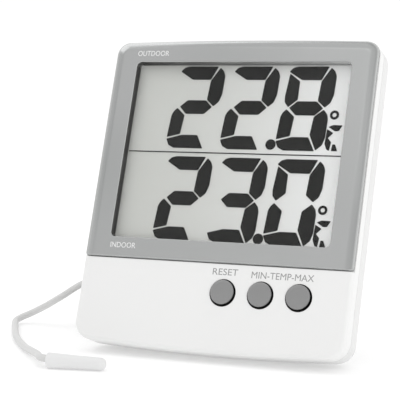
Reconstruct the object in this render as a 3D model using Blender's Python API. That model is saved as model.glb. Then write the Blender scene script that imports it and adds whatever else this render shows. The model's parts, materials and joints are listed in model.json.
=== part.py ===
"""A maximum minimum thermometer for a bench or a greenhouse shelf, leaning back on its stand.

The case is modelled upright in the case frame: X to the right, Y into the case from the front
of the bezel, and Z up the face from the bezel's lower edge. One empty then leans that frame
back and sets it on the floor. Lengths are millimetres until a mesh is made.
"""

import math

import bmesh
import bpy
from mathutils import Vector

MM = 0.001
GAP = 0.3  # between pieces that touch or slide

# Case
HALF_WIDTH = 49.0
CASE_TOP = 79.5
CASE_BOTTOM = -30.4
TOP_BOW = 0.6
BOTTOM_BOW = 1.3
TOP_RADIUS = 5.0
BOTTOM_RADIUS = 6.5
CASE_DEPTH = 20.0
WALL = 2.0
PANEL_FRONT = 0.5
PANEL_BACK = 3.0
EDGE_RADIUS = 1.5
SEAM = 6.3
BACK_INNER = 17.0
BACK_PROFILE = ((11.0, 0.0), (14.0, 0.6), (17.0, 1.8), (19.0, 3.4), (CASE_DEPTH, 5.4))  # depth, inset
LEAN = 20.0
CASE_HEIGHT = 32.79  # of the bezel's lower edge above the floor
CASE_SHIFT = -17.33  # puts the origin under the middle of the case and stand

# Bezel and display
BEZEL_INSET = 0.3
BEZEL_THICK = 1.5
BEZEL_SEAT = BEZEL_THICK + GAP
WINDOW_HALF = 40.0
WINDOW_LOW = 7.2
WINDOW_HIGH = 71.2
WINDOW_RADIUS = 1.8
RIM = 1.2
WINDOW_FRONT = 2.2
GLASS_HALF = 42.0
GLASS_LOW = 4.2
GLASS_HIGH = 73.6
GLASS_FRONT = 3.3
GLASS_BACK = 5.1
REFLECTOR_FRONT = GLASS_BACK + GAP
REFLECTOR_BACK = REFLECTOR_FRONT + 0.3
HOLDER_FLOOR = 6.0
HOLDER_BACK = 7.4
ZEBRA_HEIGHT = 7.0
BOARD_FRONT = 9.4
BOARD_BACK = 10.6
BOARD_LOW = -18.5
BOARD_HIGH = 13.0

# Buttons
BUTTON_HEIGHT = -10.0
BUTTON_PITCH = 13.4
FIRST_BUTTON = 4.6
BUTTON_NAMES = ("reset", "minimum", "maximum")
BUTTON_RADIUS = 4.45
BUTTON_HOLE = BUTTON_RADIUS + GAP
BUTTON_FRONT = -0.2
BUTTON_BACK = 4.4
BUTTON_TRAVEL = 0.8

# Battery
BATTERY_HEIGHT = 52.0
BATTERY_DEPTH = 12.85
BATTERY_RADIUS = 5.25
BATTERY_LENGTH = 44.5
BATTERY_LEFT = -21.5
BAY_HALF_LENGTH = 26.6
BAY_HALF_HEIGHT = 6.2
BAY_FLOOR = 7.2
DOOR_HALF_WIDTH = 29.7
DOOR_HALF_HEIGHT = 9.0
DOOR_FRONT = 18.7

# Stand
HINGE_HEIGHT = 20.0
HINGE_DEPTH = 18.0
STAND_OPEN = 41.0
STAND_HALF_WIDTH = 17.0
STAND_HALF_THICK = 1.0
BARREL_RADIUS = 1.9
PIN_RADIUS = 1.2
PIN_END = 19.4

# Screws and switch
CASE_SCREW_X = 38.0
CASE_SCREW_Z = -22.0
BOARD_SCREW_X = 41.4
BOARD_SCREWS_Z = (-15.0, 7.0)
SWITCH_X = 31.0
SWITCH_Z = 2.0
SWITCH_TRAVEL = 2.0

# Hanging hole
HANG_RADIUS = 4.0
HANG_HEIGHT = 66.5
HANG_SLOT = 2.1
HANG_SLOT_TOP = 72.5

# Cord and probe, with places on the floor measured from under the middle of the object
RELIEF_X = -38.0
RELIEF_Z = -14.0
RELIEF_END = 28.0
CORD_RADIUS = 1.25
COIL_CENTRE = (-47.0, 35.2)
COIL_COLUMNS = 4
COIL_ROWS = 6
COIL_MIDDLE = 18.0  # radius at the middle of the turns
PROBE_LENGTH = 20.0
PROBE_RADIUS = 2.6
PROBE_START = (-43.6, -52.9, 2.65)
PROBE_TILT = 1.4  # its narrow tip rests on the floor too
PROBE_TURN = 10.5  # from X
PROBE_BORE_RISE = 0.6  # the cord goes in above the middle
LEAD_POINTS = (
    (-38.0, -7.37, 14.26),
    (-38.0, -1.45, 12.11),
    (-38.0, 4.19, 10.06),
    (-37.9, 7.0, 8.95),
    (-37.3, 9.6, 7.3),
    (-36.0, 11.8, 5.2),
    (-33.8, 13.7, 3.0),
    (-31.2, 15.7, 1.65),
    (-28.9, 18.4, 1.3),
)
RUN_POINTS = (
    (-54.0, 54.5, 16.6),
    (-60.2, 50.9, 16.6),
    (-64.8, 45.5, 16.6),
    (-67.2, 38.8, 16.6),
    (-68.8, 33.0, 16.5),
    (-71.2, 28.0, 16.0),
    (-73.0, 23.2, 14.9),
    (-74.4, 18.8, 13.4),
    (-76.0, 15.6, 11.8),
    (-78.6, 13.8, 10.0),
    (-82.0, 13.8, 8.0),
    (-85.6, 14.7, 6.2),
    (-89.0, 15.9, 4.6),
    (-92.0, 16.2, 3.2),
    (-94.2, 14.9, 2.1),
    (-94.6, 12.0, 1.6),
    (-93.2, 8.8, 1.4),
    (-91.0, 5.0, 1.3),
    (-88.2, 0.6, 1.3),
    (-84.6, -5.4, 1.3),
    (-79.9, -12.7, 1.3),
    (-74.9, -19.6, 1.3),
    (-69.6, -26.1, 1.35),
    (-63.6, -33.0, 1.6),
    (-57.6, -39.3, 2.1),
    (-52.6, -44.4, 2.5),
    (-50.0, -47.6, 2.75),
    (-48.2, -50.2, 2.95),
    (-46.2, -52.1, 3.1),
    (-43.6, -52.9, 3.2),
    (-40.6, -52.4, 3.15),
)

ARC_STEPS = 6
BOW_STEPS = 10
SIDES = 24


def clear_scene():
    for thing in list(bpy.data.objects):
        bpy.data.objects.remove(thing, do_unlink=True)


def make_material(name, colour, roughness, metallic=0.0, alpha=1.0):
    finish = bpy.data.materials.new(name)
    finish.use_nodes = True
    shader = finish.node_tree.nodes["Principled BSDF"]
    shader.inputs["Base Color"].default_value = (*colour, 1.0)
    shader.inputs["Roughness"].default_value = roughness
    shader.inputs["Metallic"].default_value = metallic
    shader.inputs["Alpha"].default_value = alpha
    return finish


def make_empty(name, parent=None, place=(0, 0, 0), turn=(0, 0, 0)):
    empty = bpy.data.objects.new(name, None)
    bpy.context.collection.objects.link(empty)
    empty.parent = parent
    empty.location = Vector(place) * MM
    empty.rotation_euler = [math.radians(angle) for angle in turn]
    return empty


def add_object(name, shape, parent, finish=None, place=(0, 0, 0)):
    """Turns a bmesh in millimetres into an object whose origin is at place in its parent."""
    mesh = bpy.data.meshes.new(name)
    bmesh.ops.recalc_face_normals(shape, faces=shape.faces)
    bmesh.ops.scale(shape, vec=(MM, MM, MM), verts=shape.verts)
    shape.to_mesh(mesh)
    shape.free()
    mesh.shade_smooth()
    mesh.set_sharp_from_angle(angle=math.radians(35))
    thing = bpy.data.objects.new(name, mesh)
    bpy.context.collection.objects.link(thing)
    thing.parent = parent
    thing.location = Vector(place) * MM
    if finish:
        mesh.materials.append(finish)
    return thing


def combine(target, other, operation):
    """Joins other to target, or cuts it from target, and hides other."""
    other.hide_render = True
    other.display_type = "WIRE"
    boolean = target.modifiers.new(other.name, "BOOLEAN")
    boolean.operation = operation
    boolean.solver = "EXACT"
    boolean.object = other


def cut(target, name, shape, place=(0, 0, 0)):
    cutter = add_object(f"{target.name}_{name}_cutter", shape, target.parent, place=place)
    combine(target, cutter, "DIFFERENCE")


def join(target, name, shape, place=(0, 0, 0)):
    piece = add_object(f"{target.name}_{name}_piece", shape, target.parent, place=place)
    combine(target, piece, "UNION")


def loft(rings):
    """A closed shape through rings of points, with a flat cap at each end."""
    shape = bmesh.new()
    loops = [[shape.verts.new(point) for point in ring] for ring in rings]
    for first, second in zip(loops, loops[1:]):
        for index in range(len(first)):
            after = (index + 1) % len(first)
            shape.faces.new((first[index], first[after], second[after], second[index]))
    shape.faces.new(loops[0])
    shape.faces.new(loops[-1])
    return shape


def box(low, high):
    """A box between two corners."""
    corners = ((low[0], low[2]), (high[0], low[2]), (high[0], high[2]), (low[0], high[2]))
    return loft([[(x, depth, z) for x, z in corners] for depth in (low[1], high[1])])


def turned(profile, axis="Y", sides=SIDES):
    """A round shape through (distance along the axis, radius) pairs, closed at both ends."""
    rings = []
    for along, radius in profile:
        angles = [math.tau * step / sides for step in range(sides)]
        across = [(radius * math.cos(angle), radius * math.sin(angle)) for angle in angles]
        if axis == "X":
            rings.append([(along, first, second) for first, second in across])
        elif axis == "Y":
            rings.append([(first, along, second) for first, second in across])
        else:
            rings.append([(first, second, along) for first, second in across])
    return loft(rings)


def arc(centre, radius, start, end):
    angles = [math.radians(start + (end - start) * step / ARC_STEPS) for step in range(ARC_STEPS + 1)]
    return [(centre[0] + radius * math.cos(angle), centre[1] + radius * math.sin(angle)) for angle in angles]


def bow(half, edge, rise):
    """Points between the ends of an edge that bulges by rise in its middle."""
    spots = [half * (2 * step / BOW_STEPS - 1) for step in range(1, BOW_STEPS)]
    return [(x, edge + rise * (x / half) ** 2) for x in spots]


def outline(half, low, high, low_bow, high_bow, low_radius, high_radius):
    """The outline of a face, anticlockwise, with bowed ends and round corners."""
    low_half = half - low_radius
    high_half = half - high_radius
    low_centre = low + low_bow + low_radius
    high_centre = high - high_bow - high_radius
    points = bow(low_half, low, low_bow) if low_bow else []
    points += arc((low_half, low_centre), low_radius, -90, 0)
    points += arc((high_half, high_centre), high_radius, 0, 90)
    if high_bow:
        points += reversed(bow(high_half, high, -high_bow))
    points += arc((-high_half, high_centre), high_radius, 90, 180)
    points += arc((-low_half, low_centre), low_radius, 180, 270)
    return points


def case_outline(inset):
    return outline(
        HALF_WIDTH - inset,
        CASE_BOTTOM + inset,
        CASE_TOP - inset,
        BOTTOM_BOW,
        TOP_BOW,
        max(BOTTOM_RADIUS - inset, 1.0),
        max(TOP_RADIUS - inset, 1.0),
    )


def case_loft(profile):
    """A closed shape that follows the case outline at each (depth, inset)."""
    return loft([[(x, depth, z) for x, z in case_outline(inset)] for depth, inset in profile])


def frame_loft(half, low, high, radius, front, back):
    """A slab with round corners between two depths."""
    points = outline(half, low, high, 0, 0, radius, radius)
    return loft([[(x, depth, z) for x, z in points] for depth in (front, back)])


def window_loft(spare, front, back):
    """A slab of the window's outline, made larger all round by spare."""
    half = WINDOW_HALF + spare
    return frame_loft(half, WINDOW_LOW - spare, WINDOW_HIGH + spare, WINDOW_RADIUS + spare, front, back)


def front_shell(case, finish):
    edge = []
    for step in range(4):
        angle = math.radians(30 * step)
        depth = PANEL_FRONT + EDGE_RADIUS * (1 - math.cos(angle))
        edge.append((depth, EDGE_RADIUS * (1 - math.sin(angle))))
    shell = add_object("front_shell", case_loft(edge + [(SEAM - GAP / 2, 0)]), case, finish)
    cut(shell, "hollow", case_loft([(PANEL_BACK, WALL), (SEAM + 2, WALL)]))
    far = 2 * CASE_TOP
    cut(shell, "bezel_seat", box((-far, -5, -GAP), (far, BEZEL_SEAT, far)))
    cut(shell, "display", window_loft(RIM + GAP, -5, 5))
    for index in range(len(BUTTON_NAMES)):
        place = (FIRST_BUTTON + BUTTON_PITCH * index, 0, BUTTON_HEIGHT)
        cut(shell, f"button_{index}", turned(((-5, BUTTON_HOLE), (5, BUTTON_HOLE))), place)
    for side in (-1, 1):
        place = (side * CASE_SCREW_X, 0, CASE_SCREW_Z)
        join(shell, f"post_{side}", turned(((PANEL_BACK - 0.5, 2.7), (8.9, 2.7))), place)
        cut(shell, f"pilot_{side}", turned(((4.5, 1.3), (9.5, 1.3))), place)
        place = (side * BOARD_SCREW_X, 0, BOARD_SCREWS_Z[0])
        join(shell, f"board_post_{side}", turned(((PANEL_BACK - 0.5, 2.2), (BOARD_FRONT - GAP, 2.2))), place)
        cut(shell, f"board_pilot_{side}", turned(((5.5, 1.0), (10.0, 1.0))), place)
        hook = sorted((side * 20.0, side * 28.0))
        top = CASE_TOP - TOP_BOW - WALL - GAP
        join(shell, f"hook_{side}", box((hook[0], PANEL_BACK - 0.5, top - 1.3), (hook[1], 9.0, top)))
        root = box((hook[0], PANEL_BACK - 0.6, top - 1.2), (hook[1], 5.5, top + 1.2))
        join(shell, f"hook_root_{side}", root)


def lens_bezel(case, finish):
    def slab(inset, depth):
        points = outline(
            HALF_WIDTH - BEZEL_INSET - inset,
            inset,
            CASE_TOP - BEZEL_INSET - inset,
            0,
            TOP_BOW,
            1.0 - inset,
            TOP_RADIUS - BEZEL_INSET - inset,
        )
        return [(x, depth, z) for x, z in points]

    plate = loft([slab(0.5, 0), slab(0.15, 0.15), slab(0, 0.5), slab(0, BEZEL_THICK)])
    bezel = add_object("lens_bezel", plate, case, finish)
    join(bezel, "rim", window_loft(RIM, 1.0, PANEL_BACK))
    cut(bezel, "window", window_loft(0, -5, 5))


def display_stack(case, clear, glass, silver, white):
    add_object("display_window", window_loft(-GAP, WINDOW_FRONT, PANEL_BACK), case, clear)
    plate = box((-GLASS_HALF, GLASS_FRONT, GLASS_LOW), (GLASS_HALF, GLASS_BACK, GLASS_HIGH))
    add_object("lcd_glass", plate, case, glass)
    sheet_half = GLASS_HALF - 0.5
    sheet = box((-sheet_half, REFLECTOR_FRONT, 10.0), (sheet_half, REFLECTOR_BACK, GLASS_HIGH - 0.5))
    add_object("lcd_reflector", sheet, case, silver)
    body = box((-44.6, GLASS_FRONT, 1.6), (44.6, HOLDER_BACK, 74.9))
    holder = add_object("lcd_holder", body, case, white)
    pocket = (-GLASS_HALF - GAP, 0, GLASS_LOW - GAP), (GLASS_HALF + GAP, HOLDER_FLOOR, GLASS_HIGH + GAP)
    cut(holder, "pocket", box(*pocket))
    cut(holder, "back", box((-37, 5, 12), (37, 10, 68)))
    slot = 37.5 + GAP
    cut(holder, "zebra", box((-slot, 5, ZEBRA_HEIGHT - 1.8), (slot, 10, ZEBRA_HEIGHT + 1.8)))
    for side in (-1, 1):
        place = (side * BOARD_SCREW_X, 0, BOARD_SCREWS_Z[1])
        join(holder, f"post_{side}", turned(((6.6, 2.0), (BOARD_FRONT - GAP, 2.0))), place)
        cut(holder, f"pilot_{side}", turned(((6.9, 1.0), (10.0, 1.0))), place)


def zebra_strip(case, finish):
    low = (-37.5, GLASS_BACK + GAP, ZEBRA_HEIGHT - 1.5)
    high = (37.5, BOARD_FRONT - GAP, ZEBRA_HEIGHT + 1.5)
    add_object("zebra_strip", box(low, high), case, finish)


def circuit_board(case, finish):
    plate = box((-44, BOARD_FRONT, BOARD_LOW), (44, BOARD_BACK, BOARD_HIGH))
    board = add_object("circuit_board", plate, case, finish)
    for side in (-1, 1):
        for height in BOARD_SCREWS_Z:
            hole = turned(((5, 1.0), (15, 1.0)), sides=16)
            cut(board, f"hole_{side}_{height:.0f}", hole, (side * BOARD_SCREW_X, 0, height))


def board_pieces(case, epoxy, metal, bead):
    base = BOARD_BACK + GAP
    dome = turned(((base, 7.0), (base + 0.5, 6.8), (base + 1.1, 5.6), (base + 1.6, 3.2), (base + 1.75, 1.0)))
    add_object("controller_chip", dome, case, epoxy, (-10, 0, -4))
    can = turned(((-3.2, 0.7), (-3.0, 1.0), (2.8, 1.0), (3.0, 0.7)), axis="X", sides=16)
    add_object("quartz_crystal", can, case, metal, (-28, base + 1.1, -2))
    drop = turned(((-1.3, 0.4), (-0.9, 1.0), (0, 1.25), (0.9, 1.0), (1.3, 0.4)), axis="Z", sides=16)
    add_object("indoor_thermistor", drop, case, bead, (36, base + 1.3, -9))


def button(case, name, x, cap_finish, plunger_finish, body_finish):
    """A push button: its cap, and the switch behind it with a plunger that the cap presses."""
    edge = 0.5
    cap = turned(
        (
            (BUTTON_FRONT, BUTTON_RADIUS - edge),
            (BUTTON_FRONT + 0.15, BUTTON_RADIUS - 0.15),
            (BUTTON_FRONT + edge, BUTTON_RADIUS),
            (PANEL_BACK + GAP, BUTTON_RADIUS),
            (PANEL_BACK + GAP, BUTTON_RADIUS + 1.2),
            (PANEL_BACK + 1.1, BUTTON_RADIUS + 1.2),
            (PANEL_BACK + 1.1, 2.2),
            (BUTTON_BACK, 2.2),
        ),
        sides=28,
    )
    place = (x, 0, BUTTON_HEIGHT)
    add_object(f"{name}_button", cap, case, cap_finish, place)
    plunger = turned(((BUTTON_BACK + GAP, 1.7), (7.2, 1.7)), sides=16)
    add_object(f"{name}_switch_plunger", plunger, case, plunger_finish, place)
    block = box((-3, 5.8, -3), (3, BOARD_FRONT - GAP, 3))
    body = add_object(f"{name}_switch_body", block, case, body_finish, place)
    cut(body, "well", turned(((5, 2.0), (8.4, 2.0)), sides=16), place)


def back_shell(case, finish):
    shell = add_object("back_shell", case_loft([(SEAM + GAP / 2, 0), *BACK_PROFILE]), case, finish)
    hollow = [(SEAM - 2, WALL), (11.0, WALL), (14.0, WALL + 0.6), (BACK_INNER, WALL + 2.4)]
    cut(shell, "hollow", case_loft(hollow))
    join(shell, "tray", box((-21.5, 14.8, -27.8), (21.5, 17.5, 26.0)))
    bay = BATTERY_HEIGHT
    join(shell, "bay", box((-28, 6.3, bay - 7.6), (28, 17.5, bay + 7.6)))
    for side in (-1, 1):
        place = (side * CASE_SCREW_X, 0, CASE_SCREW_Z)
        join(shell, f"boss_{side}", turned(((9.2, 3.5), (17.5, 3.5))), place)
        cut(shell, f"screw_{side}", turned(((8, 1.3), (14, 1.3))), place)
        cut(shell, f"head_{side}", turned(((13, 2.5), (25, 2.5))), place)
    cut_stand_tray(shell)
    low = (-BAY_HALF_LENGTH, BAY_FLOOR, bay - BAY_HALF_HEIGHT)
    high = (BAY_HALF_LENGTH, 25, bay + BAY_HALF_HEIGHT)
    cut(shell, "battery", box(low, high))
    wide = DOOR_HALF_WIDTH + GAP
    tall = DOOR_HALF_HEIGHT + GAP
    cut(shell, "door", box((-wide, DOOR_FRONT - GAP, bay - tall), (wide, 25, bay + tall)))
    cut(shell, "hang_hole", turned(((15, HANG_RADIUS), (25, HANG_RADIUS))), (0, 0, HANG_HEIGHT))
    cut(shell, "hang_slot", box((-HANG_SLOT, 15.1, HANG_HEIGHT), (HANG_SLOT, 25, HANG_SLOT_TOP)))
    cut(shell, "cord", turned(((15, 2.5), (25, 2.5))), (RELIEF_X, 0, RELIEF_Z))
    reach = SWITCH_TRAVEL / 2 + 1.5 + GAP
    cut(shell, "switch", box((SWITCH_X - reach, 15, SWITCH_Z - 1.5), (SWITCH_X + reach, 25, SWITCH_Z + 1.5)))
    for row in range(3):
        low = -13.0 + 3.0 * row
        cut(shell, f"vent_{row}", box((29, 15, low), (39, 25, low + 1.4)))


def cut_stand_tray(shell):
    width = STAND_HALF_WIDTH + 2 * GAP
    floor = HINGE_DEPTH - STAND_HALF_THICK - 0.4
    axis = (0, HINGE_DEPTH, HINGE_HEIGHT)
    cut(shell, "stand_tray", box((-width, floor, -40), (width, 25, HINGE_HEIGHT)))
    barrel = BARREL_RADIUS + 0.4
    cut(shell, "barrel", turned(((-width - 0.01, barrel), (width + 0.01, barrel)), axis="X"), axis)
    mouth = width + 0.02
    top = HINGE_HEIGHT + barrel
    cut(shell, "barrel_mouth", box((-mouth, HINGE_DEPTH, HINGE_HEIGHT - 1), (mouth, 25, top)))
    pin = PIN_RADIUS + GAP
    cut(shell, "pins", turned(((-PIN_END - GAP, pin), (PIN_END + GAP, pin)), axis="X"), axis)


def stand(case, finish):
    """The leg, in a frame whose X axis is the hinge, with the leg hanging down that frame's Z."""
    hinge = make_empty("stand_hinge", case, (0, HINGE_DEPTH, HINGE_HEIGHT), (STAND_OPEN, 0, 0))
    lean = math.radians(LEAN)
    axis_height = CASE_HEIGHT + HINGE_HEIGHT * math.cos(lean) - HINGE_DEPTH * math.sin(lean)
    splay = math.radians(STAND_OPEN - LEAN)
    length = axis_height / math.cos(splay)
    thick = STAND_HALF_THICK
    heel = length - thick * math.tan(splay)
    toe = length + thick * math.tan(splay)
    side = [(-thick, 0.0), (thick, 0.0), (thick, -toe), (-thick, -heel)]
    leg = loft([[(x, y, z) for y, z in side] for x in (-STAND_HALF_WIDTH, STAND_HALF_WIDTH)])
    body = add_object("stand", leg, hinge, finish)
    barrel = ((-STAND_HALF_WIDTH, BARREL_RADIUS), (STAND_HALF_WIDTH, BARREL_RADIUS))
    join(body, "barrel", turned(barrel, axis="X"))
    join(body, "pins", turned(((-PIN_END, PIN_RADIUS), (PIN_END, PIN_RADIUS)), axis="X", sides=16))


def battery_pieces(case, cell_finish, metal):
    end = BATTERY_LEFT + BATTERY_LENGTH
    radius = BATTERY_RADIUS
    profile = (
        (BATTERY_LEFT, radius - 0.4),
        (BATTERY_LEFT + 0.4, radius),
        (end - 1.3, radius),
        (end - 0.9, radius - 0.4),
        (end - 0.9, 1.9),
        (end, 1.9),
    )
    centre = (0, BATTERY_DEPTH, BATTERY_HEIGHT)
    add_object("battery_cell", turned(profile, axis="X"), case, cell_finish, centre)
    plate = box((end + GAP, -4, -4), (end + GAP + 0.5, 4, 4))
    add_object("positive_contact", plate, case, metal, centre)
    left = -BAY_HALF_LENGTH
    plate = box((left + GAP, -4, -4), (left + GAP + 0.5, 4, 4))
    add_object("negative_contact", plate, case, metal, centre)
    battery_spring(case, metal, centre, left + 2 * GAP + 0.5, BATTERY_LEFT - GAP)


def battery_spring(case, metal, centre, start, end):
    """A conical spring, wide at its plate and narrow at the cell."""
    wire = 0.35
    turns = 3
    steps = 12 * turns
    curve = bpy.data.curves.new("battery_spring", "CURVE")
    curve.dimensions = "3D"
    curve.bevel_depth = wire * MM
    curve.bevel_resolution = 1
    curve.use_fill_caps = True
    curve.materials.append(metal)
    spline = curve.splines.new("POLY")
    spline.points.add(steps)
    for index in range(steps + 1):
        share = index / steps
        angle = math.tau * turns * share
        radius = 3.6 - 1.2 * share
        along = start + wire + (end - start - 2 * wire) * share
        spot = Vector((along, radius * math.cos(angle), radius * math.sin(angle))) * MM
        spline.points[index].co = (*spot, 1.0)
    spring = bpy.data.objects.new("battery_spring", curve)
    bpy.context.collection.objects.link(spring)
    spring.parent = case
    spring.location = Vector(centre) * MM


def battery_door(case, finish):
    """The door, whose origin lies on its lower edge, where it tips open."""
    place = (0, CASE_DEPTH, BATTERY_HEIGHT - DOOR_HALF_HEIGHT)
    plate = box((-DOOR_HALF_WIDTH, DOOR_FRONT - CASE_DEPTH, 0), (DOOR_HALF_WIDTH, 0, 2 * DOOR_HALF_HEIGHT))
    door = add_object("battery_door", plate, case, finish, place)
    for row in range(4):
        height = place[2] + 12.0 + 1.6 * row
        cut(door, f"groove_{row}", box((-7, CASE_DEPTH - 0.4, height), (7, 25, height + 0.8)))


def screw(case, name, place, finish, head, shank, head_span, tip):
    """A screw whose head faces the back of the case."""
    low, high = head_span
    profile = [(tip, shank * 0.5), (tip + 0.8, shank), (low, shank)]
    profile += [(low, head), (high - 0.3, head), (high, head - 0.3)]
    body = add_object(name, turned(profile, sides=16), case, finish, place)
    half = 0.28 * head
    reach = 0.62 * head
    for arm, size in (("upright", (half, reach)), ("level", (reach, half))):
        cross = box((-size[0], high - 0.6, -size[1]), (size[0], high + 1, size[1]))
        cut(body, arm, cross, place)


def screws(case, finish):
    for side, word in ((-1, "left"), (1, "right")):
        place = (side * CASE_SCREW_X, 0, CASE_SCREW_Z)
        screw(case, f"case_screw_{word}", place, finish, 2.1, 1.0, (13.3, 15.0), 5.0)
        for height, level in zip(BOARD_SCREWS_Z, ("lower", "upper")):
            place = (side * BOARD_SCREW_X, 0, height)
            screw(case, f"board_screw_{level}_{word}", place, finish, 1.7, 0.7, (10.9, 12.1), 7.3)


def unit_switch(case, body_finish, knob_finish):
    """The switch that changes between the two temperature scales, worked from behind."""
    place = (SWITCH_X, 0, SWITCH_Z)
    base = BOARD_BACK + GAP
    body = add_object("unit_switch_body", box((-5, base, -2.2), (5, 14.4, 2.2)), case, body_finish, place)
    reach = SWITCH_TRAVEL / 2 + 1.0 + GAP
    cut(body, "slot", box((-reach, 12.2, -1.1), (reach, 16, 1.1)), place)
    place = (SWITCH_X - SWITCH_TRAVEL / 2, 0, SWITCH_Z)
    knob = add_object("unit_switch_knob", box((-1.5, 14.8, -1.2), (1.5, 19.4, 1.2)), case, knob_finish, place)
    join(knob, "foot", box((-1.0, 12.6, -0.8), (1.0, 15.2, 0.8)), place)


def strain_relief(case, finish):
    profile = (
        (15.4, 3.4),
        (BACK_INNER - GAP, 3.4),
        (BACK_INNER - GAP, 2.2),
        (CASE_DEPTH + GAP, 2.2),
        (CASE_DEPTH + GAP, 3.3),
        (CASE_DEPTH + 1.5, 3.3),
        (CASE_DEPTH + 2.3, 2.9),
        (RELIEF_END, 2.1),
    )
    place = (RELIEF_X, 0, RELIEF_Z)
    relief = add_object("strain_relief", turned(profile), case, finish, place)
    bore = CORD_RADIUS + GAP
    cut(relief, "bore", turned(((14, bore), (30, bore)), sides=16), place)


def smooth_points(points, steps):
    """Points on a smooth curve through the given ones, a few between each pair."""
    spots = [Vector(point) for point in points]
    spots = [2 * spots[0] - spots[1], *spots, 2 * spots[-1] - spots[-2]]
    result = []
    for before, start, end, after in zip(spots, spots[1:], spots[2:], spots[3:]):
        for step in range(steps):
            share = step / steps
            square = share * share
            cube = square * share
            result.append(
                0.5
                * (
                    2 * start
                    + (end - before) * share
                    + (2 * before - 5 * start + 4 * end - after) * square
                    + (3 * start - before - 3 * end + after) * cube
                )
            )
    result.append(spots[-2])
    return result


def cord_tube(name, points, finish):
    curve = bpy.data.curves.new(name, "CURVE")
    curve.dimensions = "3D"
    curve.bevel_depth = CORD_RADIUS * MM
    curve.bevel_resolution = 2
    curve.use_fill_caps = True
    curve.materials.append(finish)
    spline = curve.splines.new("POLY")
    spline.points.add(len(points) - 1)
    for spot, point in zip(spline.points, points):
        spot.co = (*(point * MM), 1.0)
    tube = bpy.data.objects.new(name, curve)
    bpy.context.collection.objects.link(tube)


def cord_coil(finish):
    """The put-away length of the cord, as the outer shape of its wound turns."""
    half = COIL_COLUMNS * CORD_RADIUS
    height = 2 * COIL_ROWS * CORD_RADIUS
    ring = turned(((0, COIL_MIDDLE + half), (height, COIL_MIDDLE + half)), axis="Z", sides=40)
    coil = add_object("cord_coil", ring, None, finish, (*COIL_CENTRE, 0))
    inner = COIL_MIDDLE - half
    cut(coil, "middle", turned(((-1, inner), (height + 1, inner)), axis="Z", sides=40), (*COIL_CENTRE, 0))


def probe(shell_finish, bead_finish):
    axis = make_empty("probe_axis", None, PROBE_START, (0, PROBE_TILT, PROBE_TURN))
    end = PROBE_LENGTH
    profile = (
        (0, PROBE_RADIUS - 0.35),
        (0.25, PROBE_RADIUS - 0.1),
        (0.7, PROBE_RADIUS),
        (4.0, 2.5),
        (8.0, 2.35),
        (13.0, 2.22),
        (end - 2.0, 2.12),
        (end - 1.0, 1.85),
        (end - 0.3, 1.3),
        (end, 0.5),
    )
    shell = add_object("probe_shell", turned(profile, axis="X"), axis, shell_finish)
    bore = CORD_RADIUS + GAP
    cut(shell, "bore", turned(((-1, bore), (14.5, bore)), axis="X", sides=16), (0, 0, PROBE_BORE_RISE))
    bead = turned(((10.0, 0.4), (10.5, 1.0), (12.6, 1.0), (13.2, 0.4)), axis="X", sides=16)
    add_object("probe_thermistor", bead, axis, bead_finish, (0, 0, PROBE_BORE_RISE))


def main():
    clear_scene()
    white = make_material("white_plastic", (0.84, 0.84, 0.83), 0.42)
    silver = make_material("silver_grey_plastic", (0.40, 0.41, 0.42), 0.28, 0.35)
    clear = make_material("clear_plastic", (0.95, 0.96, 0.96), 0.05, 0.0, 0.25)
    glass = make_material("display_glass", (0.62, 0.63, 0.60), 0.15)
    mirror = make_material("reflector_film", (0.75, 0.75, 0.74), 0.2, 0.8)
    grey = make_material("grey_plastic", (0.30, 0.30, 0.30), 0.45)
    black = make_material("black_plastic", (0.03, 0.03, 0.03), 0.5)
    rubber = make_material("soft_white", (0.80, 0.80, 0.79), 0.6)
    green = make_material("board_green", (0.05, 0.25, 0.12), 0.4)
    steel = make_material("nickel_steel", (0.62, 0.62, 0.62), 0.3, 1.0)
    bead = make_material("sensor_resin", (0.10, 0.10, 0.12), 0.4)
    case = make_empty("case_frame", None, (0, CASE_SHIFT, CASE_HEIGHT), (-LEAN, 0, 0))
    front_shell(case, white)
    lens_bezel(case, silver)
    display_stack(case, clear, glass, mirror, white)
    zebra_strip(case, black)
    circuit_board(case, green)
    board_pieces(case, black, steel, bead)
    for index, name in enumerate(BUTTON_NAMES):
        button(case, name, FIRST_BUTTON + BUTTON_PITCH * index, grey, white, black)
    back_shell(case, white)
    stand(case, white)
    battery_pieces(case, grey, steel)
    battery_door(case, white)
    screws(case, steel)
    unit_switch(case, black, black)
    strain_relief(case, rubber)
    cord_tube("cord_lead", smooth_points(LEAD_POINTS, 2), rubber)
    cord_coil(rubber)
    cord_tube("cord_run", smooth_points(RUN_POINTS, 2), rubber)
    probe(rubber, bead)


main()
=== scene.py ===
"""The finished look of a maximum minimum thermometer with an outdoor probe on a long thin cord.

Pieces of the case are modelled upright in the case frame: X to the right, Y into the case from
the front of the bezel, and Z up the face from the bezel's lower edge. Lengths are millimetres
until a mesh is made.
"""

import json
import math

import bmesh
import bpy
from mathutils import Matrix, Vector


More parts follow.
